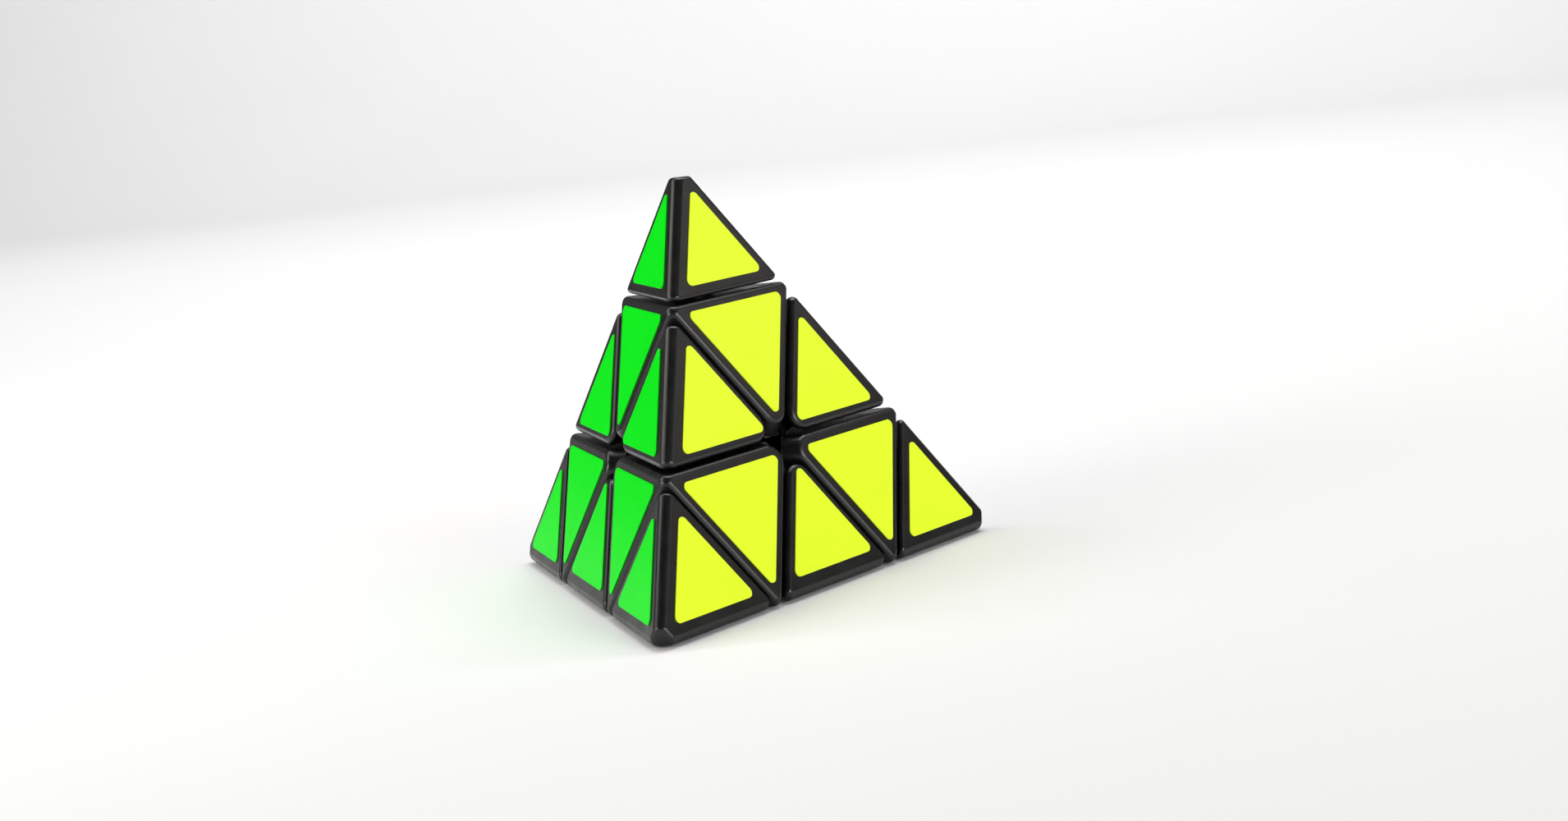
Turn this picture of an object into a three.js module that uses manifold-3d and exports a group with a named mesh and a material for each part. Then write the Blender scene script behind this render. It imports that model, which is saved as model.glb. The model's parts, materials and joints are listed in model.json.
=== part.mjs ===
// A pyramid twisty puzzle: a regular tetrahedron that turns about the four axes through its
// vertices. Four tips snap onto four axial pieces, six edge pieces sit between them, and a
// spider-shaped core holds the axial pieces with sprung screws. Millimetres, +Z up.
// The origin is the middle of the core, where the four turning axes meet. The puzzle lies on
// one face, with the top vertex on +Z and the front vertex towards -Y.
import * as THREE from "three";
import { mergeVertices } from "three/addons/utils/BufferGeometryUtils.js";
import Module from "manifold-3d";

const wasm = await Module();
wasm.setup();

// ---------------------------------------------------------------- driving dimensions

const EDGE_LENGTH = 98; // sharp edge of the whole tetrahedron, over the stickers
const CUTS_PER_EDGE = 3; // cells along one edge of a face
const HALF_GAP = 0.3; // each piece stands this far back from its cut plane

const RIDGE_RADIUS = 1.6; // rounding along the six outer edges
const VERTEX_CUT = 5.4; // the blunt end's depth below each sharp vertex
const SHARP_EASE = 0.6; // rounding where a tip's or an edge piece's face meets a cut
const BLUNT_EASE = 0.9; // rounding where an axial piece's face meets a cut
const NOSE_EASE = 3.4; // rounding where two cuts meet
const CORNER_EASE = 1.2; // rounding at a piece's corners

const STICKER_THICKNESS = 0.15;
const STICKER_LIFT = 0.05; // glue line between a sticker and its piece
const STICKER_CORNER = 1.0;
const STICKER_INSETS = {
  // distance of a sticker's sides from its cell's sides
  tip: { base: 2.7, sides: 3.85 },
  axial: { base: 1.75, sides: 2.1 },
  edge: { base: 4.2, sides: 2.4 },
};

const CORE_RADIUS = 6.5;
const ARM_RADIUS = 3.3;
const ARM_END = 8.4;
const SHELL_INNER = 9.2; // inner radius of the feet and hubs
const SHELL_MIDDLE = 12.4; // where the feet end and the skirts begin
const SHELL_OUTER = 15.5; // outer radius of the skirts
const FOOT_CONE = THREE.MathUtils.degToRad(69); // a layer's half angle at the feet
const SKIRT_CONE = THREE.MathUtils.degToRad(61); // a layer's half angle at the skirts
const SHELL_JOIN = 1.4; // how far the round middle runs up into an eased block

const HUB_FLOOR = 13.0; // height of the well's floor along the axis
const WELL_RADIUS = 4.4;
const SNAP_GROOVE = { radius: 4.9, bottom: 25.1, top: 28.1 };
const CHAMBER_WALL = 2.2;
const CHAMBER_TOP = 24.0;

const SCREW_RADIUS = 1.2;
const SCREW_POINT = 0.6; // radius of the flat at the screw's end
const SCREW_START = 2.8;
const SCREW_CLEARANCE = 0.3;
const BORE_OVERRUN = 1.0; // how far a bore runs past the wall it opens
const HEAD = { radius: 3.3, bottom: 19.8, height: 1.8, crown: 0.4 };
const RECESS = { length: 3.4, width: 0.8, depth: 1.1 };

const SPRING = { wire: 0.3, coil: 2.2, bottom: 13.4, top: 19.2, turns: 4 };

const STEM = { radius: 3.7, bead: 4.45, end: 24.6, bore: 2.3 };
const TIP_WALL = 2.2;

const SEGMENTS = 24; // facets of the shells and layer cuts, a multiple of 12
const BORE_SEGMENTS = 12; // facets of screws, bores and stems
const ARC_STEP = THREE.MathUtils.degToRad(14);
const RIDGE_FACETS = 3;
const COIL_STEPS = 10; // facets in one turn of a spring
const WIRE_SIDES = 5;
const CORE_DETAIL = 2; // subdivisions of the core's ball
const STICKER_CORNER_FACETS = 2;
const FAR = 150; // larger than anything in the puzzle
const WELD = 1e-4; // vertices this close are one
const MEETING = 1e-3; // planes this close to a corner meet there
const PARALLEL = 1e-6; // three planes with a smaller determinant share no corner

// ---------------------------------------------------------------- worked out from them

const FACE = EDGE_LENGTH / Math.sqrt(24); // centre to a sticker's outer face
const VERTEX = 3 * FACE; // centre to a sharp vertex
const PLASTIC_FACE = FACE - STICKER_THICKNESS - STICKER_LIFT;
const SLICE = (4 * FACE) / CUTS_PER_EDGE; // thickness of one layer
const TIP_CUT = VERTEX - SLICE;
const LAYER_CUT = VERTEX - 2 * SLICE;
const CELL_HEIGHT = (EDGE_LENGTH / CUTS_PER_EDGE) * Math.sin(Math.PI / 3);

const VERTEX_NAMES = ["top", "front", "right", "left"];
const FACE_COLOURS = { left: "yellow", right: "green", front: "blue", top: "red" };
const UP = new THREE.Vector3(0, 0, 1);
const SIDE_TILT = Math.acos(-1 / 3);
const AXES = {
  top: UP,
  front: axisAt(-90),
  right: axisAt(30),
  left: axisAt(150),
};

function axisAt(degrees) {
  const around = THREE.MathUtils.degToRad(degrees);
  const out = Math.sin(SIDE_TILT);
  return new THREE.Vector3(out * Math.cos(around), out * Math.sin(around), Math.cos(SIDE_TILT));
}

function others(...names) {
  return VERTEX_NAMES.filter((name) => !names.includes(name));
}

// ---------------------------------------------------------------- turns of the tetrahedron

function basis(first, second) {
  const along = first.clone();
  const across = second.clone().addScaledVector(first, -second.dot(first)).normalize();
  return new THREE.Matrix4().makeBasis(along, across, along.clone().cross(across));
}

// The turn that carries the top vertex to one vertex and the left vertex to another.
function turnTo(topGoesTo, leftGoesTo) {
  const from = basis(AXES.top, AXES.left).transpose();
  const turned = basis(AXES[topGoesTo], AXES[leftGoesTo]).multiply(from);
  return new THREE.Quaternion().setFromRotationMatrix(turned);
}

// ---------------------------------------------------------------- solids

function solid(geometry) {
  const bare = geometry.index ? geometry.toNonIndexed() : geometry.clone();
  bare.deleteAttribute("normal");
  bare.deleteAttribute("uv");
  const merged = mergeVertices(bare, WELD);
  return new wasm.Manifold(
    new wasm.Mesh({
      numProp: 3,
      vertProperties: merged.attributes.position.array,
      triVerts: new Uint32Array(merged.index.array),
    }),
  );
}

function geometryOf(manifold) {
  const { vertProperties, triVerts } = manifold.getMesh();
  const geometry = new THREE.BufferGeometry();
  geometry.setAttribute("position", new THREE.BufferAttribute(vertProperties, 3));
  geometry.setIndex(new THREE.BufferAttribute(triVerts, 1));
  const flat = geometry.toNonIndexed();
  flat.computeVertexNormals();
  return flat;
}

// Everything on the inner side of a plane.
function halfSpace({ normal, distance }) {
  const box = new THREE.BoxGeometry(FAR, FAR, FAR).translate(0, 0, distance - FAR / 2);
  box.applyQuaternion(new THREE.Quaternion().setFromUnitVectors(UP, normal));
  return solid(box);
}

function insideAll(planes) {
  return planes.map(halfSpace).reduce((whole, part) => whole.intersect(part));
}

// A solid of revolution about a vertex axis, from (radius, height) points.
function turned(points, segments = SEGMENTS, axisName = "top") {
  const lathe = new THREE.LatheGeometry(points, segments).rotateX(Math.PI / 2);
  if (axisName !== "top") lathe.applyQuaternion(turnTo(axisName, "top"));
  return solid(lathe);
}

function cylinder(radius, bottom, top) {
  const outline = [
    new THREE.Vector2(0, bottom),
    new THREE.Vector2(radius, bottom),
    new THREE.Vector2(radius, top),
    new THREE.Vector2(0, top),
  ];
  return turned(outline, BORE_SEGMENTS);
}

function arc(radius, from, to) {
  const steps = Math.max(1, Math.round(Math.abs(to - from) / ARC_STEP));
  const points = [];
  for (let step = 0; step <= steps; step += 1) {
    const angle = from + ((to - from) * step) / steps;
    points.push(new THREE.Vector2(radius * Math.sin(angle), radius * Math.cos(angle)));
  }
  return points;
}

function ball(radius) {
  const points = arc(radius, Math.PI, 0);
  points[0].x = 0;
  points[points.length - 1].x = 0;
  return turned(points);
}

// ---------------------------------------------------------------- eased blocks

// The plane that blunts an edge or a corner where planes meet, touching a round of this radius.
function easedPlane(point, normals, radius) {
  const normal = new THREE.Vector3();
  normals.forEach((each) => normal.add(each));
  normal.normalize();
  const depth = radius * (1 / normal.dot(normals[0]) - 1);
  return { normal, distance: point.dot(normal) - depth };
}

function meetingPoint(a, b, c) {
  const matrix = new THREE.Matrix3().set(...a.normal, ...b.normal, ...c.normal);
  if (Math.abs(matrix.determinant()) < PARALLEL) return null;
  const distances = new THREE.Vector3(a.distance, b.distance, c.distance);
  return distances.applyMatrix3(matrix.invert());
}

// The corners of the block inside the planes, each with the planes that meet there.
function blockCorners(planes) {
  const corners = [];
  planes.forEach((a, i) =>
    planes.slice(i + 1).forEach((b, j) =>
      planes.slice(i + j + 2).forEach((c) => {
        const point = meetingPoint(a, b, c);
        if (!point) return;
        const depthOf = (plane) => plane.normal.dot(point) - plane.distance;
        if (planes.some((plane) => depthOf(plane) > MEETING)) return;
        if (corners.some((corner) => corner.point.distanceTo(point) < MEETING)) return;
        const meeting = planes.filter((plane) => Math.abs(depthOf(plane)) < MEETING);
        corners.push({ point, meeting });
      }),
    ),
  );
  return corners;
}

// A block of moulded plastic: cut planes and outer faces with their edges and corners eased.
function easedBlock(cuts, faces, faceEase) {
  const planes = [...cuts, ...faces];
  const corners = blockCorners(planes);
  const eased = [...planes];
  cuts.forEach((cut, i) => {
    const partners = [...cuts.slice(i + 1), ...faces];
    partners.forEach((partner) => {
      const shared = corners.filter(
        ({ meeting }) => meeting.includes(cut) && meeting.includes(partner),
      );
      if (shared.length < 2) return;
      const radius = faces.includes(partner) ? faceEase : NOSE_EASE;
      eased.push(easedPlane(shared[0].point, [cut.normal, partner.normal], radius));
    });
  });
  corners.forEach(({ point, meeting }) => {
    const normals = meeting.map((plane) => plane.normal);
    eased.push(easedPlane(point, normals, CORNER_EASE));
  });
  return insideAll(eased);
}

function outside(name, distance) {
  return { normal: AXES[name], distance };
}

function inside(name, distance) {
  return { normal: AXES[name].clone().negate(), distance: -distance };
}

function faceOpposite(name, distance = PLASTIC_FACE) {
  return inside(name, -distance);
}

// The whole tetrahedron with rounded ridges and blunt vertices.
function envelope() {
  const planes = VERTEX_NAMES.map((name) => faceOpposite(name));
  VERTEX_NAMES.forEach((name) => planes.push(outside(name, VERTEX - VERTEX_CUT)));
  VERTEX_NAMES.forEach((a, i) =>
    VERTEX_NAMES.slice(i + 1).forEach((b) => {
      const from = AXES[a].clone().negate();
      const to = AXES[b].clone().negate();
      const middle = from.clone().add(to).normalize();
      const roundCentre = middle.multiplyScalar((PLASTIC_FACE - RIDGE_RADIUS) * Math.sqrt(3));
      const sweep = new THREE.Quaternion().setFromUnitVectors(from, to);
      for (let facet = 1; facet <= RIDGE_FACETS; facet += 1) {
        const part = new THREE.Quaternion().slerp(sweep, facet / (RIDGE_FACETS + 1));
        const normal = from.clone().applyQuaternion(part);
        planes.push({ normal, distance: roundCentre.dot(normal) + RIDGE_RADIUS });
      }
    }),
  );
  return insideAll(planes);
}

// ---------------------------------------------------------------- the turning layers

// The space that one layer turns in, drawn in by a clearance or, when negative, let out.
function layerSpace(axisName, clearance) {
  const middle = SHELL_MIDDLE - clearance;
  const outer = SHELL_OUTER + clearance;
  const inner = SHELL_INNER + clearance;
  const cut = LAYER_CUT + clearance;
  const foot = (radius) => FOOT_CONE - clearance / radius;
  const skirt = (radius) => SKIRT_CONE - clearance / radius;
  const points = [
    ...arc(inner, 0, foot(inner)),
    ...arc(middle, foot(middle), skirt(middle)),
    ...arc(outer, skirt(outer), Math.acos(cut / outer)),
    new THREE.Vector2(FAR / 2, cut),
    new THREE.Vector2(FAR / 2, FAR / 2),
    new THREE.Vector2(0, FAR / 2),
  ];
  points[0].x = 0;
  return turned(points, SEGMENTS, axisName);
}

const keptOut = (axisName) => layerSpace(axisName, -HALF_GAP);
const keptIn = (axisName) => layerSpace(axisName, HALF_GAP);

// ---------------------------------------------------------------- pieces, each made once

// Spider core: a ball with four drilled arms.
function coreSolid() {
  let core = solid(new THREE.IcosahedronGeometry(CORE_RADIUS, CORE_DETAIL));
  const arm = cylinder(ARM_RADIUS, 0, ARM_END);
  const hole = cylinder(SCREW_RADIUS + SCREW_CLEARANCE, SCREW_START - SCREW_CLEARANCE, FAR / 2);
  VERTEX_NAMES.forEach((name) => {
    core = core.add(placed(arm, name));
  });
  VERTEX_NAMES.forEach((name) => {
    core = core.subtract(placed(hole, name));
  });
  return core;
}

// A solid made on the top axis, carried to another vertex.
function placed(manifold, name) {
  if (name === "top") return manifold;
  const geometry = geometryOf(manifold).applyQuaternion(turnTo(name, "top"));
  return solid(geometry);
}

// Pan-head screw with a cross recess.
function screwSolid() {
  const top = HEAD.bottom + HEAD.height;
  const outline = [
    new THREE.Vector2(0, SCREW_START),
    new THREE.Vector2(SCREW_POINT, SCREW_START),
    new THREE.Vector2(SCREW_RADIUS, SCREW_START + SCREW_RADIUS),
    new THREE.Vector2(SCREW_RADIUS, HEAD.bottom),
    new THREE.Vector2(HEAD.radius, HEAD.bottom),
    new THREE.Vector2(HEAD.radius, top - HEAD.crown),
    new THREE.Vector2(HEAD.radius - HEAD.crown, top),
    new THREE.Vector2(0, top),
  ];
  const slot = new THREE.BoxGeometry(RECESS.length, RECESS.width, 2 * RECESS.depth);
  slot.translate(0, 0, top);
  const crossing = slot.clone().rotateZ(Math.PI / 2);
  return turned(outline, BORE_SEGMENTS).subtract(solid(slot)).subtract(solid(crossing));
}

class Helix extends THREE.Curve {
  getPoint(t, target = new THREE.Vector3()) {
    const angle = 2 * Math.PI * SPRING.turns * t;
    const low = SPRING.bottom + SPRING.wire;
    const high = SPRING.top - SPRING.wire;
    const height = THREE.MathUtils.lerp(low, high, t);
    return target.set(SPRING.coil * Math.cos(angle), SPRING.coil * Math.sin(angle), height);
  }
}

// Compression spring under the screw's head.
function springSolid() {
  const section = new THREE.Shape();
  for (let side = 0; side < WIRE_SIDES; side += 1) {
    const angle = (2 * Math.PI * side) / WIRE_SIDES;
    const corner = [SPRING.wire * Math.cos(angle), SPRING.wire * Math.sin(angle)];
    if (side === 0) section.moveTo(...corner);
    else section.lineTo(...corner);
  }
  section.closePath();
  const steps = SPRING.turns * COIL_STEPS;
  return solid(
    new THREE.ExtrudeGeometry(section, { steps, extrudePath: new Helix(), bevelEnabled: false }),
  );
}

// Axial piece on the top axis: an eased octahedral block with a hub, skirts and a screw well.
function axialSolid(whole) {
  const sides = others("top");
  const cuts = [
    outside("top", TIP_CUT - HALF_GAP),
    inside("top", LAYER_CUT + HALF_GAP),
    ...sides.map((name) => outside(name, LAYER_CUT - HALF_GAP)),
  ];
  const faces = sides.map((name) => faceOpposite(name));
  let piece = easedBlock(cuts, faces, BLUNT_EASE).add(ball(SHELL_OUTER + SHELL_JOIN));
  piece = piece.intersect(keptIn("top")).intersect(whole);
  sides.forEach((name) => {
    piece = piece.subtract(keptOut(name));
  });
  const chamber = insideAll([
    outside("top", CHAMBER_TOP),
    inside("top", HUB_FLOOR),
    ...sides.map((name) => outside(name, LAYER_CUT - HALF_GAP - CHAMBER_WALL)),
    ...sides.map((name) => faceOpposite(name, PLASTIC_FACE - CHAMBER_WALL)),
  ]).subtract(ball(SHELL_OUTER + CHAMBER_WALL));
  return piece
    .subtract(cylinder(WELL_RADIUS, HUB_FLOOR, FAR / 2))
    .subtract(cylinder(SNAP_GROOVE.radius, SNAP_GROOVE.bottom, SNAP_GROOVE.top))
    .subtract(cylinder(SCREW_RADIUS + SCREW_CLEARANCE, 0, HUB_FLOOR + BORE_OVERRUN))
    .subtract(chamber);
}

// Edge piece between the front and right vertices: an eased block on a stem and a foot.
function edgeSolid(whole) {
  const ends = ["front", "right"];
  const cuts = ends.map((name) => inside(name, LAYER_CUT + HALF_GAP));
  const faces = others(...ends).map((name) => faceOpposite(name));
  const piece = easedBlock(cuts, faces, SHARP_EASE).add(ball(SHELL_OUTER + SHELL_JOIN));
  return piece.intersect(keptIn("front")).intersect(keptIn("right")).intersect(whole);
}

// Tip on the top vertex: a hollow cap with a snap stem.
function tipSolid(whole) {
  const sides = others("top");
  const base = TIP_CUT + HALF_GAP;
  const cap = easedBlock(
    [inside("top", base)],
    sides.map((name) => faceOpposite(name)),
    SHARP_EASE,
  ).intersect(whole);
  const beadHeight = (SNAP_GROOVE.bottom + SNAP_GROOVE.top) / 2;
  const taper = STEM.bead - STEM.radius;
  const stemOutline = [
    new THREE.Vector2(0, STEM.end),
    new THREE.Vector2(STEM.radius - taper, STEM.end),
    new THREE.Vector2(STEM.bead, beadHeight - taper / 2),
    new THREE.Vector2(STEM.bead, beadHeight + taper / 2),
    new THREE.Vector2(STEM.radius, beadHeight + 1.5 * taper),
    new THREE.Vector2(STEM.radius, base + TIP_WALL),
    new THREE.Vector2(0, base + TIP_WALL),
  ];
  const stem = turned(stemOutline, BORE_SEGMENTS);
  const hollow = insideAll([
    inside("top", base + TIP_WALL),
    outside("top", VERTEX - VERTEX_CUT - TIP_WALL),
    ...sides.map((name) => faceOpposite(name, PLASTIC_FACE - TIP_WALL)),
  ]);
  return cap.add(stem).subtract(hollow).subtract(cylinder(STEM.bore, 0, base + 2 * TIP_WALL));
}

// ---------------------------------------------------------------- stickers

// A triangular sticker on the face opposite the left vertex, lying across the face's line
// from its middle to the top vertex. "tip" and "edge" cells point up, "axial" cells down.
function stickerGeometry(kind) {
  const { base, sides } = STICKER_INSETS[kind];
  const height = CELL_HEIGHT - base - 2 * sides;
  const up = kind === "axial" ? -1 : 1;
  const baseLine = kind === "edge" ? -CELL_HEIGHT : CELL_HEIGHT;
  const middle = baseLine + up * (base + height / 3);
  const reach = (2 * height) / 3 - 2 * STICKER_CORNER;
  const outline = new THREE.Shape();
  for (let corner = 0; corner < 3; corner += 1) {
    const towards = Math.PI * (0.5 * up + (2 * corner) / 3);
    const x = reach * Math.cos(towards);
    const y = middle + reach * Math.sin(towards);
    outline.absarc(x, y, STICKER_CORNER, towards - Math.PI / 3, towards + Math.PI / 3, false);
  }
  outline.closePath();
  const geometry = new THREE.ExtrudeGeometry(outline, {
    depth: STICKER_THICKNESS,
    bevelEnabled: false,
    curveSegments: STICKER_CORNER_FACETS,
  });
  geometry.translate(0, 0, FACE - STICKER_THICKNESS);
  const normal = AXES.left.clone().negate();
  const upward = AXES.top.clone().addScaledVector(normal, -AXES.top.dot(normal)).normalize();
  const across = upward.clone().cross(normal);
  return geometry.applyMatrix4(new THREE.Matrix4().makeBasis(across, upward, normal));
}

// ---------------------------------------------------------------- materials

function plastic(color, roughness) {
  return new THREE.MeshStandardMaterial({ color, roughness, metalness: 0 });
}

function steel(color, roughness) {
  return new THREE.MeshStandardMaterial({ color, roughness, metalness: 1 });
}

const MATERIALS = {
  shell: plastic(0x1b1a1c, 0.38),
  core: plastic(0x2a2a2d, 0.5),
  screw: steel(0xb9bbbf, 0.3),
  spring: steel(0xa8aab0, 0.25),
  yellow: plastic(0xeafe35, 0.45),
  green: plastic(0x0ce62a, 0.45),
  blue: plastic(0x1566e8, 0.45),
  red: plastic(0xf02a34, 0.45),
};

// ---------------------------------------------------------------- assembly

const puzzle = new THREE.Group();

function addPart(name, geometry, material, turn = new THREE.Quaternion()) {
  const mesh = new THREE.Mesh(geometry, material.clone());
  mesh.name = name;
  mesh.quaternion.copy(turn);
  puzzle.add(mesh);
}

const whole = envelope();
const geometries = {
  core: geometryOf(coreSolid()),
  screw: geometryOf(screwSolid()),
  spring: geometryOf(springSolid()),
  axial: geometryOf(axialSolid(whole)),
  edge: geometryOf(edgeSolid(whole)),
  tip: geometryOf(tipSolid(whole)),
};
const stickers = {
  tip: stickerGeometry("tip"),
  axial: stickerGeometry("axial"),
  edge: stickerGeometry("edge"),
};

addPart("core", geometries.core, MATERIALS.core);

// On each axis: a screw, its spring, an axial piece and a tip.
VERTEX_NAMES.forEach((vertex) => {
  const turn = turnTo(vertex, others(vertex)[0]);
  addPart(`screw_${vertex}`, geometries.screw, MATERIALS.screw, turn);
  addPart(`spring_${vertex}`, geometries.spring, MATERIALS.spring, turn);
  addPart(`axial_${vertex}`, geometries.axial, MATERIALS.shell, turn);
  addPart(`tip_${vertex}`, geometries.tip, MATERIALS.shell, turn);
});

// Between each two vertices: an edge piece.
VERTEX_NAMES.forEach((a, i) =>
  VERTEX_NAMES.slice(i + 1).forEach((b) => {
    const turn = turnTo(...others(a, b));
    addPart(`edge_${a}_${b}`, geometries.edge, MATERIALS.shell, turn);
  }),
);

// On each face: three tip, three axial and three edge stickers.
VERTEX_NAMES.forEach((opposite) => {
  const colour = FACE_COLOURS[opposite];
  others(opposite).forEach((vertex) => {
    const turn = turnTo(vertex, opposite);
    const ends = others(opposite, vertex).join("_");
    addPart(`sticker_${colour}_tip_${vertex}`, stickers.tip, MATERIALS[colour], turn);
    addPart(`sticker_${colour}_axial_${vertex}`, stickers.axial, MATERIALS[colour], turn);
    addPart(`sticker_${colour}_edge_${ends}`, stickers.edge, MATERIALS[colour], turn);
  });
});

export default puzzle;
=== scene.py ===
import json
import math

import bmesh
import bpy
from mathutils import Matrix, Quaternion, Vector


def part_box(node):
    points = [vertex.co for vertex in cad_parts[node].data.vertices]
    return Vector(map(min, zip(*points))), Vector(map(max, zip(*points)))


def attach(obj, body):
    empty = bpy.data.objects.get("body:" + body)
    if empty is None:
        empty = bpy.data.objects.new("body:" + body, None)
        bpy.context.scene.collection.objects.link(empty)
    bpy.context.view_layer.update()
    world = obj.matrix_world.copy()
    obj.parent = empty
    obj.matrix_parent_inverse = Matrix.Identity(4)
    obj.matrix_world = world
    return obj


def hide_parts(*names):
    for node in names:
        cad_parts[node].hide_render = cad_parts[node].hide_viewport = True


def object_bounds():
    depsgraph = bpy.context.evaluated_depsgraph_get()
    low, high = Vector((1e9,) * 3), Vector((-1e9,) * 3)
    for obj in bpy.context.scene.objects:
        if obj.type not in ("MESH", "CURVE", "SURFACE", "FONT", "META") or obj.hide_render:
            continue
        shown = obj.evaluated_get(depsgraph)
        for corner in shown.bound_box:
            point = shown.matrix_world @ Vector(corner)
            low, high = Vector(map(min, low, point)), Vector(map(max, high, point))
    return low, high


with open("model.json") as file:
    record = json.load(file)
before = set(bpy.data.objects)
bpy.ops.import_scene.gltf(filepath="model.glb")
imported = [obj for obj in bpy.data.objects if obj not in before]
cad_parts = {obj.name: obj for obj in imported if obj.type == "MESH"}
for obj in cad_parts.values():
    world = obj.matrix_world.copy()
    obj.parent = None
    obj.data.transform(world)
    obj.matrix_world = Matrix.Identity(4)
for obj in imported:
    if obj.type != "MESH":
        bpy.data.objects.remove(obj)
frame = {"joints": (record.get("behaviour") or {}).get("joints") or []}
cad_low, cad_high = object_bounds()

# Pieces are modelled in millimetres, with the origin at the middle of the core, and are brought
# to metres when they are placed.
MM = 0.001

# ---------------------------------------------------------------- sizes taken from the frame

VERTICES = ["top", "front", "right", "left"]
FACE_COLOURS = {"left": "yellow", "right": "green", "front": "blue", "top": "red"}
AXES = {
    joint["name"].removeprefix("turn_"): Vector(joint["axis"]).normalized()
    for joint in frame["joints"]
    if joint["name"].startswith("turn_")
}

FACE = -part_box("sticker_red_tip_front")[0].z / MM  # centre to a sticker's outer face
PLASTIC_FACE = -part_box("tip_front")[0].z / MM
VERTEX = 3 * FACE  # centre to a sharp vertex
SLICE = 4 * FACE / 3  # thickness of one layer
TIP_CUT = VERTEX - SLICE
LAYER_CUT = VERTEX - 2 * SLICE
CELL_HEIGHT = 4 * FACE / 3 / math.cos(math.asin(1 / 3))
HALF_GAP = TIP_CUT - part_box("axial_top")[1].z / MM
BLUNT_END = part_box("tip_top")[1].z / MM

# ---------------------------------------------------------------- sizes of the fine shape, mm

RIDGE_RADIUS = 1.6  # rounding of the puzzle's six outer edges
NOSE_RADIUS = 3.4  # rounding where two cuts meet
TIP_RADIUS = 0.7  # rounding where a tip's face meets its cut
EDGE_RADIUS = 1.0  # rounding where an edge piece's face meets a cut
AXIAL_RADIUS = 1.2  # rounding where an axial piece's face meets a cut
END_RADIUS = 1.0  # rounding round a blunt vertex
CROWN_SWELL = 0.2  # share by which the rounding of a ridge's end grows towards its crest
FACET_TURN = math.radians(12)  # turn from one facet of a rounding to the next

# From the sides of a sticker's cell to the sticker. The base lies along the cut between tip and
# axial piece or, on an edge piece, along the puzzle's outer edge.
STICKER_INSETS = {
    "tip": {"base": 2.7, "sides": 3.85},
    "axial": {"base": 1.75, "sides": 2.1},
    "edge": {"base": 4.2, "sides": 2.4},
}
STICKER_CORNER = 1.0
STICKER_CORNER_STEPS = 10
STICKER_ROLL = 0.07  # rounding of the film's cut edge
STICKER_ROLL_STEPS = 4
STICKER_SEAT = 0.01  # glue line under the film

# A layer turns on three spheres round the core: under the feet, between feet and skirts, and
# over the skirts. The cones say how far from its axis its feet and its skirts reach.
SHELL_INNER = 9.2
SHELL_MIDDLE = 12.4
SHELL_OUTER = 15.5
FOOT_CONE = math.radians(69)
SKIRT_CONE = math.radians(61)
SHELL_JOIN = 1.4  # how far the spherical part of a piece runs into its block
PLANE_SLACK = 0.01  # keeps a turned cut from lying in a block's own cut

HUB_FLOOR = 13.0  # where the spring stands
WELL_RADIUS = 4.4
GROOVE = {"radius": 4.9, "bottom": 25.1, "top": 28.1}  # takes the bead of a tip's stem
CHAMBER_WALL = 2.2
CHAMBER_TOP = 24.0
SCREW_HOLE = 1.5

STEM = {"radius": 3.7, "end": 24.6, "bore": 2.3, "slit": 0.8, "slit_top": 30.5}
BEAD = {"radius": 4.45, "ease": 0.08, "lead_in": 0.06, "flat_inset": 0.1, "back_slope": 1.5}
TIP_WALL = 2.2

CORE_RADIUS = 6.5
ARM = {"radius": 3.3, "end": 8.4, "ease": 0.35}
SCREW = {"core": 0.95, "thread": 1.2, "pitch": 0.8, "start": 2.8, "thread_end": 11.0}
SCREW_END_ROOM = 0.3  # left free past the end of the screw
SCREW_POINT = 0.45  # share of the core's radius that is left at the very end
SCREW_LEAD_IN = 2.0
THREAD_RUN_OUT = 1.0
THREAD_FLANKS = 3.2  # the larger, the narrower the crest of the thread
THREAD_SEGMENTS = 32
THREAD_STEPS = 8  # rings in one pitch
HEAD = {"radius": 3.3, "bottom": 19.8, "height": 1.8, "crown": 0.55, "ease": 0.15}
HEAD_CROWN_STEPS = 6
RECESS = {"length": 3.4, "width": 0.8, "depth": 1.1}
WASHER = {"radius": 3.5, "hole": 1.45, "bottom": 19.25, "top": 19.75, "ease": 0.12}
SPRING = {"wire": 0.3, "coil": 2.2, "bottom": 13.1, "top": 19.2, "turns": 5.0}
SPRING_END_PITCH = 2.05  # pitch of a closed end turn, in wire radii
SPRING_STEPS = 28  # rings in one turn
WIRE_SEGMENTS = 12

LATHE_SEGMENTS = 96
BORE_SEGMENTS = 48
ARC_STEP = math.radians(3)
FAR = 90.0  # farther out than any part of the puzzle
ON_PLANE = 0.0001  # a corner this near to a cutting plane lies in it
OVERRUN = 1.0  # how far a cutter runs past what it cuts
JOIN = 0.02  # how far two joined solids run into each other
SMOOTH_ANGLE = math.radians(33)  # creases sharper than this stay crisp

# ---------------------------------------------------------------- turns of the tetrahedron


def others(*names):
    return [name for name in VERTICES if name not in names]


def basis(first, second):
    across = (second - first * second.dot(first)).normalized()
    return Matrix((first, across, first.cross(across))).transposed()


def turn_to(top_goes_to, left_goes_to):
    """The turn that carries the top vertex to one vertex and the left vertex to another."""
    start = basis(AXES["top"], AXES["left"])
    return basis(AXES[top_goes_to], AXES[left_goes_to]) @ start.transposed()


# ---------------------------------------------------------------- mesh helpers


def scene_object(name, data):
    made = bpy.data.objects.new(name, data)
    bpy.context.scene.collection.objects.link(made)
    return made


def from_bmesh(name, shape):
    bmesh.ops.recalc_face_normals(shape, faces=shape.faces)
    mesh = bpy.data.meshes.new(name)
    shape.to_mesh(mesh)
    shape.free()
    return scene_object(name, mesh)


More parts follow.
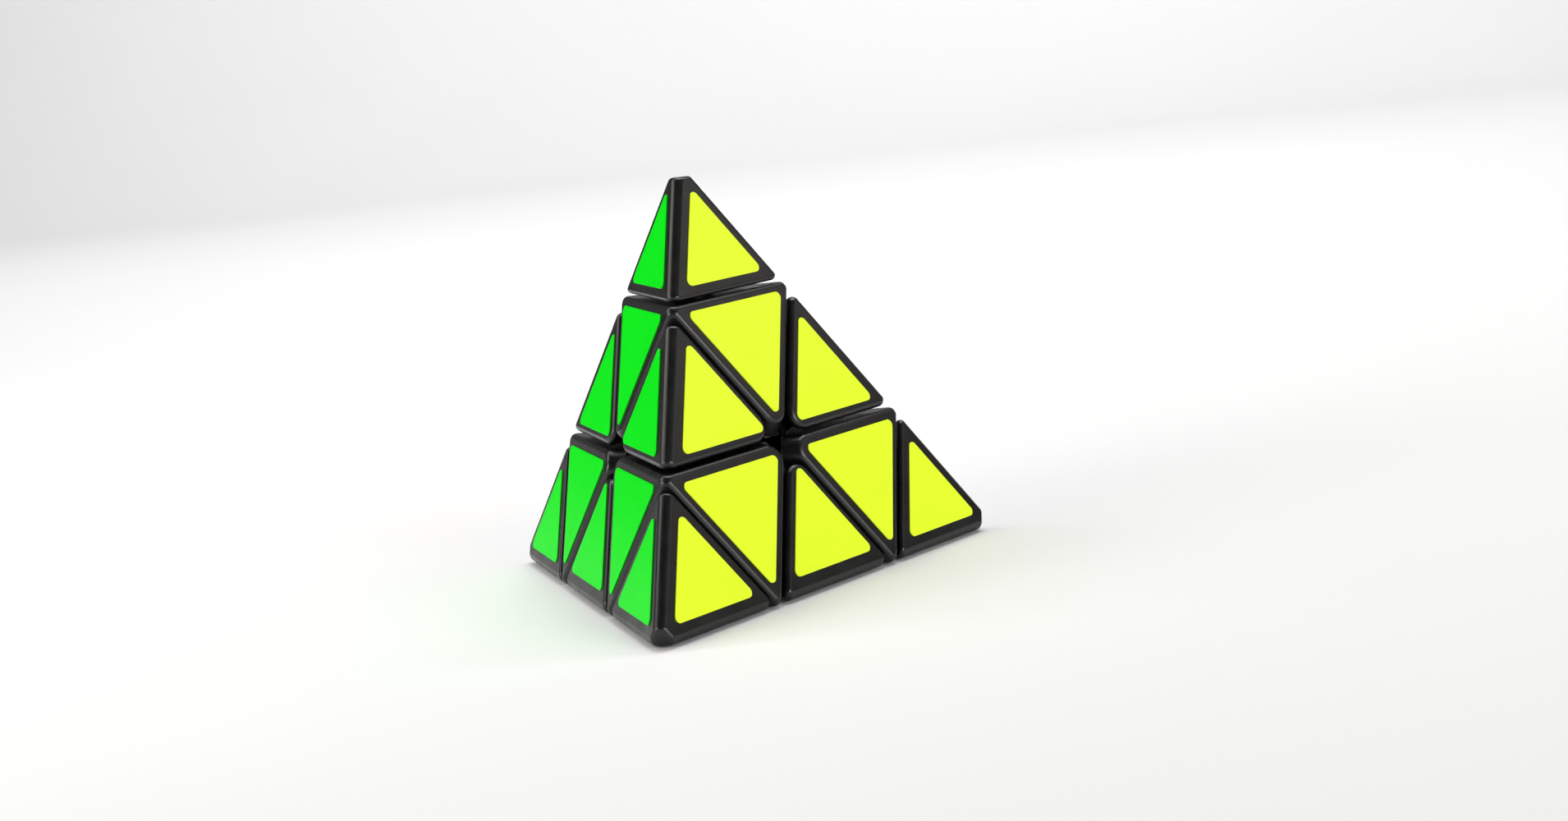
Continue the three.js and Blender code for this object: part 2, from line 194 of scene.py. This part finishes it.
def from_rings(name, rings):
    """A solid from rings of points, each joined to the next, with flat ends."""
    shape = bmesh.new()
    rows = [[shape.verts.new(point) for point in ring] for ring in rings]
    for lower, upper in zip(rows, rows[1:]):
        for i in range(len(lower)):
            j = (i + 1) % len(lower)
            shape.faces.new((lower[i], lower[j], upper[j], upper[i]))
    shape.faces.new(reversed(rows[0]))
    shape.faces.new(rows[-1])
    return from_bmesh(name, shape)


def turned(outline, segments=LATHE_SEGMENTS, turn=None):
    """A solid of revolution about +Z from (radius, height) points, from axis to axis."""
    shape = bmesh.new()
    rows = []
    for radius, height in outline:
        if radius == 0:
            rows.append([shape.verts.new((0, 0, height))])
            continue
        angles = [2 * math.pi * i / segments for i in range(segments)]
        ring = [(radius * math.cos(a), radius * math.sin(a), height) for a in angles]
        rows.append([shape.verts.new(point) for point in ring])
    for lower, upper in zip(rows, rows[1:]):
        for i in range(segments):
            j = (i + 1) % segments
            corners = [lower[i % len(lower)], lower[j % len(lower)]]
            corners += [upper[j % len(upper)], upper[i % len(upper)]]
            unique = list(dict.fromkeys(corners))
            if len(unique) > 2:
                shape.faces.new(unique)
    if turn is not None:
        bmesh.ops.transform(shape, matrix=turn.to_4x4(), verts=shape.verts)
    return from_bmesh("turned", shape)


def cylinder(radius, bottom, top, segments=BORE_SEGMENTS, turn=None):
    outline = [(0, bottom), (radius, bottom), (radius, top), (0, top)]
    return turned(outline, segments, turn)


def arc(radius, start, end):
    steps = max(1, round(abs(end - start) / ARC_STEP))
    angles = [start + (end - start) * step / steps for step in range(steps + 1)]
    return [(radius * math.sin(a), radius * math.cos(a)) for a in angles]


def ball(radius):
    outline = arc(radius, math.pi, 0)
    return turned([(0, -radius), *outline[1:-1], (0, radius)])


def box(size, centre, turn=None):
    shape = bmesh.new()
    bmesh.ops.create_cube(shape, size=1)
    bmesh.ops.scale(shape, vec=size, verts=shape.verts)
    bmesh.ops.translate(shape, vec=centre, verts=shape.verts)
    if turn is not None:
        bmesh.ops.transform(shape, matrix=turn.to_4x4(), verts=shape.verts)
    return from_bmesh("box", shape)


def discard(*objects):
    for each in objects:
        mesh = each.data
        bpy.data.objects.remove(each)
        bpy.data.meshes.remove(mesh)


def settle(piece):
    """Applies the piece's modifiers."""
    depsgraph = bpy.context.evaluated_depsgraph_get()
    mesh = bpy.data.meshes.new_from_object(piece.evaluated_get(depsgraph))
    old = piece.data
    piece.modifiers.clear()
    piece.data = mesh
    bpy.data.meshes.remove(old)
    return piece


def combine(first, operation, *tools):
    for tool in tools:
        cut = first.modifiers.new("cut", "BOOLEAN")
        cut.operation = operation
        cut.solver = "MANIFOLD"
        cut.object = tool
        settle(first)
        discard(tool)
    return first


def add(first, *tools):
    return combine(first, "UNION", *tools)


def subtract(first, *tools):
    return combine(first, "DIFFERENCE", *tools)


def intersect(first, *tools):
    return combine(first, "INTERSECT", *tools)


# ---------------------------------------------------------------- blocks with real roundings


class Plane:
    """Space on the inner side of a plane."""

    def __init__(self, normal, distance):
        self.normal = normal.normalized()
        self.distance = distance


def below(name, distance):
    return Plane(AXES[name], distance)


def above(name, distance):
    return Plane(-AXES[name], -distance)


def face_opposite(name, distance=PLASTIC_FACE):
    return Plane(-AXES[name], distance)


def fillet(a, b, radius):
    """Planes that touch a round of this radius between two planes."""
    share = a.normal.dot(b.normal)
    first, second = a.distance - radius, b.distance - radius
    along_a = (first - share * second) / (1 - share * share)
    along_b = (second - share * first) / (1 - share * share)
    centre = a.normal * along_a + b.normal * along_b
    sweep = a.normal.rotation_difference(b.normal)
    facets = max(2, round(sweep.angle / FACET_TURN))
    planes = []
    for facet in range(1, facets + 1):
        part = Quaternion().slerp(sweep, facet / (facets + 1))
        normal = part @ a.normal
        planes.append(Plane(normal, centre.dot(normal) + radius))
    return planes


def pairs(items):
    return [(a, b) for i, a in enumerate(items) for b in items[i + 1 :]]


def rim(surfaces, cuts, radius):
    """Rounds every crease between these surfaces and the cuts that end them."""
    return [plane for a in surfaces for b in cuts for plane in fillet(a, b, radius)]


def crowns(ridge, cuts, radius):
    """Rounds the sharp corners where a ridge runs into its cuts, most at its crest."""
    planes = []
    for step, side in enumerate(ridge, 1):
        swell = CROWN_SWELL * math.sin(math.pi * step / (len(ridge) + 1))
        planes += rim([side], cuts, radius * (1 + swell))
    return planes


def block(planes):
    """The convex solid inside every plane, one face to a plane."""
    shape = bmesh.new()
    bmesh.ops.create_cube(shape, size=4 * FAR)
    for plane in planes:
        cut = bmesh.ops.bisect_plane(
            shape,
            geom=shape.verts[:] + shape.edges[:] + shape.faces[:],
            dist=ON_PLANE,
            plane_co=plane.normal * plane.distance,
            plane_no=plane.normal,
            clear_outer=True,
        )
        section = [e for e in cut["geom_cut"] if isinstance(e, bmesh.types.BMEdge)]
        bmesh.ops.edgeloop_fill(shape, edges=section)
    return shape


# ---------------------------------------------------------------- the turning layers


def layer_space(axis_name, clearance):
    """The space that a layer turns in, drawn in by a clearance or, when negative, let out."""
    middle = SHELL_MIDDLE - clearance
    outer = SHELL_OUTER + clearance
    inner = SHELL_INNER + clearance
    cut = LAYER_CUT + clearance - math.copysign(PLANE_SLACK, clearance)
    foot = [FOOT_CONE - clearance / radius for radius in (inner, middle)]
    skirt = [SKIRT_CONE - clearance / radius for radius in (middle, outer)]
    outline = [(0, inner), *arc(inner, 0, foot[0])[1:]]
    outline += arc(middle, foot[1], skirt[0])
    outline += arc(outer, skirt[1], math.acos(cut / outer))
    outline += [(FAR, cut), (FAR, FAR), (0, FAR)]
    turn = None if axis_name == "top" else turn_to(axis_name, "top")
    return turned(outline, LATHE_SEGMENTS, turn)


# ---------------------------------------------------------------- plastic pieces

CROSSWISE = [Matrix.Rotation(angle, 3, "Z") for angle in (0, math.pi / 2)]


def finished(piece):
    """Smooth shading with crisp cuts and flat faces that stay flat."""
    piece.data.materials.clear()
    piece.data.shade_smooth()
    piece.data.set_sharp_from_angle(angle=SMOOTH_ANGLE)
    weighted = piece.modifiers.new("weighted", "WEIGHTED_NORMAL")
    weighted.keep_sharp = True
    return settle(piece)


def tip_piece():
    """Cap with a hollow inside and a slit snap stem below, on the top axis."""
    faces = [face_opposite(name) for name in others("top")]
    base = TIP_CUT + HALF_GAP
    under, end = above("top", base), below("top", BLUNT_END)
    planes = [under, end, *faces, *rim(faces, [under], TIP_RADIUS)]
    planes += rim(faces, [end], END_RADIUS)
    for a, b in pairs(faces):
        ridge = fillet(a, b, RIDGE_RADIUS)
        planes += [*ridge, *crowns(ridge, [under], TIP_RADIUS), *rim(ridge, [end], END_RADIUS)]
    cap = from_bmesh("cap", block(planes))
    bead = (GROOVE["bottom"] + GROOVE["top"]) / 2
    taper = BEAD["radius"] - STEM["radius"]
    stem = [
        (0, STEM["end"]),
        (STEM["radius"] - taper, STEM["end"]),
        (BEAD["radius"] - BEAD["ease"], bead - taper / 2 - BEAD["lead_in"]),
        (BEAD["radius"], bead - taper / 2 + BEAD["flat_inset"]),
        (BEAD["radius"], bead + taper / 2 - BEAD["flat_inset"]),
        (BEAD["radius"] - BEAD["ease"], bead + taper / 2 + BEAD["ease"]),
        (STEM["radius"], bead + BEAD["back_slope"] * taper),
        (STEM["radius"], base + TIP_WALL),
        (0, base + TIP_WALL),
    ]
    hollow_faces = [face_opposite(name, PLASTIC_FACE - TIP_WALL) for name in others("top")]
    hollow = [above("top", base + TIP_WALL), below("top", BLUNT_END - TIP_WALL), *hollow_faces]
    slit_height = STEM["slit_top"] - STEM["end"] + OVERRUN
    slit_size = (2 * BEAD["radius"] + OVERRUN, STEM["slit"], slit_height)
    slit_centre = (0, 0, STEM["slit_top"] - slit_height / 2)
    slits = [box(slit_size, slit_centre, turn) for turn in CROSSWISE]
    add(cap, turned(stem, BORE_SEGMENTS))
    subtract(cap, from_bmesh("hollow", block(hollow)))
    subtract(cap, cylinder(STEM["bore"], 0, base + 2 * TIP_WALL), *slits)
    return finished(cap)


def axial_piece():
    """Octahedral block with a hub, skirts, a screw well and a hollow chamber, on the top axis."""
    sides = others("top")
    lid = below("top", TIP_CUT - HALF_GAP)
    planes = [lid, above("top", LAYER_CUT + HALF_GAP)]
    for name in sides:
        face, cut = face_opposite(name), below(name, LAYER_CUT - HALF_GAP)
        near_faces = [face_opposite(other) for other in others("top", name)]
        near_cuts = [below(other, LAYER_CUT - HALF_GAP) for other in others("top", name)]
        nose = fillet(*near_cuts, NOSE_RADIUS)
        ridge = fillet(*near_faces, RIDGE_RADIUS)
        planes += [face, cut, *nose, *ridge, *rim([face], [lid, *near_cuts, *nose], AXIAL_RADIUS)]
        planes += rim(ridge, [lid, cut], AXIAL_RADIUS)
    outer = from_bmesh("outer", block(planes))
    add(outer, ball(SHELL_OUTER + SHELL_JOIN))
    intersect(outer, layer_space("top", HALF_GAP))
    subtract(outer, *[layer_space(name, -HALF_GAP) for name in sides])
    walls = [below(name, LAYER_CUT - HALF_GAP - CHAMBER_WALL) for name in sides]
    walls += [face_opposite(name, PLASTIC_FACE - CHAMBER_WALL) for name in sides]
    chamber = block([below("top", CHAMBER_TOP), above("top", HUB_FLOOR), *walls])
    chamber = subtract(from_bmesh("chamber", chamber), ball(SHELL_OUTER + CHAMBER_WALL))
    subtract(
        outer,
        cylinder(WELL_RADIUS, HUB_FLOOR, FAR),
        cylinder(GROOVE["radius"], GROOVE["bottom"], GROOVE["top"]),
        cylinder(SCREW_HOLE, 0, HUB_FLOOR + OVERRUN),
        chamber,
    )
    return finished(outer)


def edge_piece():
    """Tetrahedral block with a stem and a foot, between the front and right vertices."""
    ends = ["front", "right"]
    faces = [face_opposite(name) for name in others(*ends)]
    cuts = [above(name, LAYER_CUT + HALF_GAP) for name in ends]
    nose, ridge = fillet(*cuts, NOSE_RADIUS), fillet(*faces, RIDGE_RADIUS)
    rounds = [*nose, *ridge, *rim(faces, [*cuts, *nose], EDGE_RADIUS)]
    rounds += crowns(ridge, cuts, EDGE_RADIUS)
    outer = from_bmesh("outer", block([*cuts, *faces, *rounds]))
    add(outer, ball(SHELL_OUTER + SHELL_JOIN))
    intersect(outer, *[layer_space(name, HALF_GAP) for name in ends])
    return finished(outer)


# ---------------------------------------------------------------- inner pieces


def core_piece():
    """Ball with four drilled arms."""
    core = ball(CORE_RADIUS)
    outline = [
        (0, 0),
        (ARM["radius"], 0),
        (ARM["radius"], ARM["end"] - ARM["ease"]),
        (ARM["radius"] - ARM["ease"], ARM["end"]),
        (0, ARM["end"]),
    ]
    for name in VERTICES:
        turn = None if name == "top" else turn_to(name, "top")
        add(core, turned(outline, BORE_SEGMENTS, turn))
    for name in VERTICES:
        turn = None if name == "top" else turn_to(name, "top")
        inner_end = SCREW["start"] - SCREW_END_ROOM
        subtract(core, cylinder(SCREW_HOLE, inner_end, FAR, BORE_SEGMENTS, turn))
    return finished(core)


def thread_radius(height, turn):
    """Radius of a screw's shank at a height and a share of a turn."""
    lead_in = min(1.0, (height - SCREW["start"]) / SCREW_LEAD_IN)
    run_out = min(1.0, max(0.0, (SCREW["thread_end"] - height) / THREAD_RUN_OUT))
    phase = (height / SCREW["pitch"] - turn) % 1
    crest = max(0.0, 1 - abs(phase - 0.5) * THREAD_FLANKS)
    shank = SCREW["core"] * (SCREW_POINT + (1 - SCREW_POINT) * lead_in)
    return shank + (SCREW["thread"] - SCREW["core"]) * crest * lead_in * run_out


def screw_piece():
    """Pan-head screw with a rolled thread and a cross recess, on the top axis."""
    length = HEAD["bottom"] - SCREW["start"]
    levels = round(length / SCREW["pitch"] * THREAD_STEPS)
    rings = []
    for level in range(levels + 1):
        height = SCREW["start"] + length * level / levels
        ring = []
        for i in range(THREAD_SEGMENTS):
            radius = thread_radius(height, i / THREAD_SEGMENTS)
            angle = 2 * math.pi * i / THREAD_SEGMENTS
            ring.append((radius * math.cos(angle), radius * math.sin(angle), height))
        rings.append(ring)
    shank = from_rings("shank", rings)
    top = HEAD["bottom"] + HEAD["height"]
    under = HEAD["bottom"] - JOIN
    outline = [(0, under), (HEAD["radius"] - HEAD["ease"], under)]
    outline.append((HEAD["radius"], under + HEAD["ease"]))
    for step in range(HEAD_CROWN_STEPS + 1):
        a = math.pi / 2 * (1 - step / HEAD_CROWN_STEPS)
        radius = HEAD["radius"] - HEAD["crown"] * (1 - math.sin(a))
        outline.append((radius, top - HEAD["crown"] * (1 - math.cos(a))))
    add(shank, turned([*outline, (0, top)], BORE_SEGMENTS))
    slot = (RECESS["length"], RECESS["width"], 2 * RECESS["depth"])
    for turn in CROSSWISE:
        subtract(shank, box(slot, (0, 0, top), turn))
    return finished(shank)


def spring_height(turn, low, high):
    """Height of a spring's wire after some turns, with the first and the last turn closed."""
    closed = SPRING_END_PITCH * SPRING["wire"]
    if turn < 1:
        return low + closed * turn
    share = (turn - 1) / (SPRING["turns"] - 2)
    middle = low + closed + (high - low - 2 * closed) * share
    last = high - closed * (SPRING["turns"] - turn)
    return min(max(middle, low + closed * turn), last)


def spring_piece():
    """Compression spring with closed end turns, on the top axis."""
    steps = round(SPRING["turns"] * SPRING_STEPS)
    low, high = SPRING["bottom"] + SPRING["wire"], SPRING["top"] - SPRING["wire"]
    rings = []
    for step in range(steps + 1):
        turn = SPRING["turns"] * step / steps
        angle = 2 * math.pi * turn
        out = Vector((math.cos(angle), math.sin(angle), 0))
        centre = out * SPRING["coil"] + Vector((0, 0, spring_height(turn, low, high)))
        ring = []
        for side in range(WIRE_SEGMENTS):
            a = 2 * math.pi * side / WIRE_SEGMENTS
            across = out * math.cos(a) + Vector((0, 0, math.sin(a)))
            ring.append(centre + SPRING["wire"] * across)
        rings.append(ring)
    return finished(from_rings("spring", rings))


def washer_piece():
    """Flat washer under a screw head, on the top axis."""
    low, high, ease_by = WASHER["bottom"], WASHER["top"], WASHER["ease"]
    outline = [(0, low), (WASHER["radius"] - ease_by, low), (WASHER["radius"], low + ease_by)]
    outline += [(WASHER["radius"], high - ease_by), (WASHER["radius"] - ease_by, high), (0, high)]
    hole = cylinder(WASHER["hole"], low - OVERRUN, high + OVERRUN)
    return finished(subtract(turned(outline), hole))


# ---------------------------------------------------------------- stickers


def sticker_outline(kind, inset):
    """Rounded triangle on the face opposite the left vertex, x across and y towards the top."""
    sizes = STICKER_INSETS[kind]
    height = CELL_HEIGHT - sizes["base"] - 2 * sizes["sides"]
    up = -1 if kind == "axial" else 1
    base_line = -CELL_HEIGHT if kind == "edge" else CELL_HEIGHT
    middle = base_line + up * (sizes["base"] + height / 3)
    radius = STICKER_CORNER - inset
    reach = 2 * height / 3 - 2 * STICKER_CORNER
    points = []
    for corner in range(3):
        towards = math.pi * (0.5 * up + 2 * corner / 3)
        centre = (reach * math.cos(towards), middle + reach * math.sin(towards))
        for step in range(STICKER_CORNER_STEPS + 1):
            angle = towards + math.pi / 3 * (2 * step / STICKER_CORNER_STEPS - 1)
            x = centre[0] + radius * math.cos(angle)
            points.append((x, centre[1] + radius * math.sin(angle)))
    return points


def sticker_piece(kind):
    """Vinyl film with a rolled edge, lying on the plastic."""
    normal = -AXES["left"]
    upward = (AXES["top"] - normal * AXES["top"].dot(normal)).normalized()
    across = upward.cross(normal)
    levels = [(0, PLASTIC_FACE + STICKER_SEAT)]
    for step in range(STICKER_ROLL_STEPS + 1):
        angle = math.pi / 2 * step / STICKER_ROLL_STEPS
        inset = STICKER_ROLL * (1 - math.cos(angle))
        levels.append((inset, FACE - STICKER_ROLL * (1 - math.sin(angle))))
    rings = []
    for inset, height in levels:
        outline = sticker_outline(kind, inset)
        rings.append([across * x + upward * y + normal * height for x, y in outline])
    return finished(from_rings(f"sticker_{kind}", rings))


# ---------------------------------------------------------------- materials

NOISE_LOW, NOISE_HIGH = 0.3, 0.7  # the range that most of a noise lies in


class Nodes:
    """A short way to write a material's node tree."""

    def __init__(self, name):
        self.material = bpy.data.materials.new(name)
        self.material.use_nodes = True
        self.tree = self.material.node_tree
        self.tree.nodes.clear()
        self.output = self.make("ShaderNodeOutputMaterial")
        self.shader = self.make("ShaderNodeBsdfPrincipled")
        self.link(self.shader, "BSDF", self.output, "Surface")
        self.coordinates = self.make("ShaderNodeTexCoord")

    def make(self, kind):
        return self.tree.nodes.new(kind)

    def link(self, start, output, end, socket):
        self.tree.links.new(start.outputs[output], end.inputs[socket])

    def noise(self, scale, detail, roughness=0.55):
        """Noise with this many features to a metre, about."""
        node = self.make("ShaderNodeTexNoise")
        node.inputs["Scale"].default_value = scale
        node.inputs["Detail"].default_value = detail
        node.inputs["Roughness"].default_value = roughness
        self.link(self.coordinates, "Object", node, "Vector")
        return node

    def tint(self, source, low, high):
        """The shader's colour, from one to another as the noise goes up."""
        node = self.make("ShaderNodeValToRGB")
        node.color_ramp.elements[0].position = NOISE_LOW
        node.color_ramp.elements[1].position = NOISE_HIGH
        node.color_ramp.elements[0].color = (*low, 1)
        node.color_ramp.elements[1].color = (*high, 1)
        self.link(source, "Fac", node, "Fac")
        self.link(node, "Color", self.shader, "Base Color")

    def polish(self, source, low, high):
        """The shader's roughness, from one to another as the noise goes up."""
        node = self.make("ShaderNodeMapRange")
        node.inputs["From Min"].default_value = NOISE_LOW
        node.inputs["From Max"].default_value = NOISE_HIGH
        node.inputs["To Min"].default_value = low
        node.inputs["To Max"].default_value = high
        self.link(source, "Fac", node, "Value")
        self.link(node, "Result", self.shader, "Roughness")

    def bump(self, source, depth, strength, over=None):
        """Bump on the shader, laid over another bump where one is given."""
        node = self.make("ShaderNodeBump")
        node.inputs["Distance"].default_value = depth
        node.inputs["Strength"].default_value = strength
        self.link(source, "Fac", node, "Height")
        if over is not None:
            self.link(over, "Normal", node, "Normal")
        self.link(node, "Normal", self.shader, "Normal")
        return node


def scaled(colour, factor):
    return tuple(min(1.0, channel * factor) for channel in colour)


def moulded_plastic(name, colour, roughness):
    """Injection-moulded plastic: faint flow shading, handling marks and a fine satin grain."""
    made = Nodes(name)
    flow = made.noise(scale=60, detail=4)
    made.tint(flow, low=scaled(colour, 0.85), high=scaled(colour, 1.25))
    marks = made.noise(scale=190, detail=5, roughness=0.62)
    made.polish(marks, low=roughness - 0.05, high=roughness + 0.09)
    grain = made.bump(made.noise(scale=5200, detail=2), depth=0.00001, strength=0.35)
    made.bump(made.noise(scale=320, detail=2), depth=0.00002, strength=0.35, over=grain)
    made.shader.inputs["Specular IOR Level"].default_value = 0.5
    return made.material


def vinyl_film(name, colour):
    """Satin vinyl film: even dye, a faint orange peel and soft handling marks."""
    made = Nodes(name)
    made.tint(made.noise(scale=130, detail=3), low=scaled(colour, 0.975), high=colour)
    made.polish(made.noise(scale=240, detail=4, roughness=0.6), low=0.34, high=0.44)
    made.bump(made.noise(scale=1500, detail=2), depth=0.000012, strength=0.3)
    made.shader.inputs["Specular IOR Level"].default_value = 0.0
    made.shader.inputs["Coat Weight"].default_value = 0.3
    made.shader.inputs["Coat Roughness"].default_value = 0.2
    return made.material


def bright_metal(name, colour, roughness, streaks):
    """Plated or drawn steel: fine streaks and small changes in polish."""
    made = Nodes(name)
    made.shader.inputs["Metallic"].default_value = 1.0
    plating = made.noise(scale=900, detail=4)
    made.tint(plating, low=scaled(colour, 0.82), high=scaled(colour, 1.08))
    wear = made.noise(scale=2600, detail=3)
    made.polish(wear, low=roughness - 0.06, high=roughness + 0.1)
    made.bump(made.noise(scale=streaks, detail=2), depth=0.00001, strength=0.3)
    return made.material


MATERIALS = {
    "black_plastic": moulded_plastic("black_abs", (0.0034, 0.0031, 0.0031), 0.30),
    "core_plastic": moulded_plastic("grey_nylon", (0.03, 0.03, 0.034), 0.45),
    "screw_steel": bright_metal("zinc_plate", (0.62, 0.63, 0.66), 0.27, 3200),
    "spring_steel": bright_metal("spring_wire", (0.5, 0.51, 0.54), 0.2, 5200),
    "sticker_yellow": vinyl_film("yellow_vinyl", (0.79, 0.98, 0.032)),
    "sticker_green": vinyl_film("green_vinyl", (0.002, 0.80, 0.010)),
    "sticker_blue": vinyl_film("blue_vinyl", (0.006, 0.11, 0.76)),
    "sticker_red": vinyl_film("red_vinyl", (0.82, 0.012, 0.018)),
}


# ---------------------------------------------------------------- placing


def place(pattern, name, turn, body, slot, stands_for=None):
    """A copy of a pattern piece, turned into place, riding on its body."""
    mesh = pattern.data.copy()
    mesh.name = name
    matrix = turn.to_4x4() if turn is not None else Matrix.Identity(4)
    mesh.transform(Matrix.Scale(MM, 4) @ matrix)
    mesh.materials.clear()
    mesh.materials.append(MATERIALS[slot])
    piece = scene_object(name, mesh)
    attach(piece, body)
    if stands_for:
        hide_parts(stands_for)


tip, axial, edge = tip_piece(), axial_piece(), edge_piece()
core, screw, spring, washer = core_piece(), screw_piece(), spring_piece(), washer_piece()
films = {kind: sticker_piece(kind) for kind in ("tip", "axial", "edge")}

place(core, "core_spider", None, "core", "core_plastic", "core")
for vertex in VERTICES:
    turn = turn_to(vertex, others(vertex)[0])
    place(screw, f"pan_screw_{vertex}", turn, "core", "screw_steel", f"screw_{vertex}")
    place(spring, f"coil_spring_{vertex}", turn, "core", "spring_steel", f"spring_{vertex}")
    place(washer, f"washer_{vertex}", turn, "core", "screw_steel")
    layer, end = f"layer_{vertex}", f"tip_{vertex}"
    place(axial, f"axial_piece_{vertex}", turn, layer, "black_plastic", f"axial_{vertex}")
    place(tip, f"tip_piece_{vertex}", turn, end, "black_plastic", end)

for a, b in pairs(VERTICES):
    name = f"edge_{a}_{b}"
    turn = turn_to(*others(a, b))
    place(edge, f"edge_piece_{a}_{b}", turn, name, "black_plastic", name)

for opposite in VERTICES:
    colour = FACE_COLOURS[opposite]
    slot = f"sticker_{colour}"
    for vertex in others(opposite):
        turn = turn_to(vertex, opposite)
        ends = "_".join(others(opposite, vertex))
        for kind, where, body in (
            ("tip", vertex, f"tip_{vertex}"),
            ("axial", vertex, f"layer_{vertex}"),
            ("edge", ends, f"edge_{ends}"),
        ):
            node = f"sticker_{colour}_{kind}_{where}"
            place(films[kind], f"film_{colour}_{kind}_{where}", turn, body, slot, node)

discard(tip, axial, edge, core, screw, spring, washer, *films.values())

# ---------------------------------------------------------------- stage, light and camera, metres

PAPER_DARK = (0.86, 0.86, 0.86)
PAPER_LIGHT = (0.88, 0.88, 0.88)
PAPER_ROUGHNESS = 0.9
FLOOR_DROP = 0.02 * MM  # the puzzle's lowest faces must not lie in the paper
FLOOR_HALF_WIDTH = 1.35
FLOOR_FRONT = -1.4
FLOOR_BACK = 1.35  # where the paper starts to curve up
SWEEP_RADIUS = 0.5
SWEEP_TURN = math.radians(75)
SWEEP_STEPS = 16


def floor_material():
    made = Nodes("pale_floor")
    made.tint(made.noise(scale=3, detail=2), low=PAPER_DARK, high=PAPER_LIGHT)
    made.shader.inputs["Roughness"].default_value = PAPER_ROUGHNESS
    return made.material


def build_stage(ground):
    """A sheet of paper: flat under the puzzle and curved up behind it."""
    ground -= FLOOR_DROP
    profile = [(FLOOR_FRONT, ground), (FLOOR_BACK, ground)]
    for step in range(1, SWEEP_STEPS + 1):
        angle = SWEEP_TURN * step / SWEEP_STEPS
        back = FLOOR_BACK + SWEEP_RADIUS * math.sin(angle)
        profile.append((back, ground + SWEEP_RADIUS * (1 - math.cos(angle))))
    points = []
    for back, height in profile:
        points += [(-FLOOR_HALF_WIDTH, back, height), (FLOOR_HALF_WIDTH, back, height)]
    strips = range(0, len(points) - 2, 2)
    mesh = bpy.data.meshes.new("pale_floor")
    mesh.from_pydata(points, [], [(k, k + 1, k + 3, k + 2) for k in strips])
    mesh.shade_smooth()
    mesh.materials.append(floor_material())
    scene_object("pale_floor", mesh)


def look(holder, place_at, aim, roll=0.0):
    """Puts a light or a camera in its place and turns it to what it is aimed at."""
    turn = (Vector(aim) - Vector(place_at)).to_track_quat("-Z", "Y")
    holder.location = place_at
    holder.rotation_mode = "QUATERNION"
    holder.rotation_quaternion = turn @ Quaternion((0, 0, 1), roll)


PUZZLE_MIDDLE = (0, 0, 0.015)


def softbox(name, place_at, size, strength, colour, aim=PUZZLE_MIDDLE):
    """A rectangular area light that looks as bright from any distance, whatever its size."""
    light = bpy.data.lights.new(name, "AREA")
    light.shape = "RECTANGLE"
    light.size, light.size_y = size
    light.energy = strength * math.pi * light.size * light.size_y
    light.color = colour
    holder = scene_object(name, light)
    look(holder, place_at, aim)
    holder.visible_camera = False


WARM = (1.0, 0.95, 0.89)
NEUTRAL = (1.0, 1.0, 1.0)


def build_lights():
    # Name, place, width and height, strength, colour and, for the last, what it is aimed at.
    softbox("left_softbox", (-0.405, -0.02, 0.33), (0.36, 0.26), 2.8, WARM)
    softbox("front_left_softbox", (-0.75, -0.60, 0.24), (0.5, 0.4), 7.0, NEUTRAL)
    softbox("front_right_softbox", (0.80, -0.62, 0.20), (0.55, 0.45), 7.8, NEUTRAL)
    softbox("right_card", (0.46, 0.09, 0.26), (0.3, 0.2), 1.0, WARM)
    softbox("overhead_softbox", (0.05, 0.32, 0.95), (0.65, 0.65), 3.7, NEUTRAL)
    softbox("wall_light", (-0.2, 0.80, 1.30), (2.2, 0.5), 7.0, NEUTRAL, (-0.35, 1.75, 0.05))


BRIGHT_SIDE = (0.9, 0.4, 0.0)  # the side of the room that a window lights
ROOM_DARK, DARK_UP_TO = 0.04, -0.2
ROOM_BRIGHT, BRIGHT_FROM = 0.16, 0.9


def build_world():
    """A dim room that grows lighter towards its bright side."""
    world = bpy.data.worlds.new("soft_room")
    world.use_nodes = True
    tree = world.node_tree
    direction = tree.nodes.new("ShaderNodeTexCoord")
    along = tree.nodes.new("ShaderNodeVectorMath")
    along.operation = "DOT_PRODUCT"
    along.inputs[1].default_value = BRIGHT_SIDE
    strength = tree.nodes.new("ShaderNodeMapRange")
    strength.inputs["From Min"].default_value = DARK_UP_TO
    strength.inputs["From Max"].default_value = BRIGHT_FROM
    strength.inputs["To Min"].default_value = ROOM_DARK
    strength.inputs["To Max"].default_value = ROOM_BRIGHT
    background = tree.nodes["Background"]
    background.inputs["Color"].default_value = (1, 1, 1, 1)
    tree.links.new(direction.outputs["Generated"], along.inputs[0])
    tree.links.new(along.outputs["Value"], strength.inputs["Value"])
    tree.links.new(strength.outputs["Result"], background.inputs["Strength"])
    bpy.context.scene.world = world


CAMERA_PLACE = (0.1065, -0.4420, 0.0800)
CAMERA_AIM = (0.0139, 0.0022, 0.0099)
CAMERA_ROLL = math.radians(-6.6)
CAMERA_LENS = 57.26
SENSOR_WIDTH = 36.0
NEAREST, FARTHEST = 0.01, 20


def build_camera():
    camera = bpy.data.cameras.new("camera")
    camera.sensor_fit = "HORIZONTAL"
    camera.sensor_width = SENSOR_WIDTH
    camera.lens = CAMERA_LENS
    camera.clip_start, camera.clip_end = NEAREST, FARTHEST
    holder = scene_object("camera", camera)
    look(holder, CAMERA_PLACE, CAMERA_AIM, CAMERA_ROLL)
    bpy.context.scene.camera = holder


build_stage(cad_low.z)
build_lights()
build_world()
build_camera()
bpy.context.scene.view_settings.view_transform = "Standard"
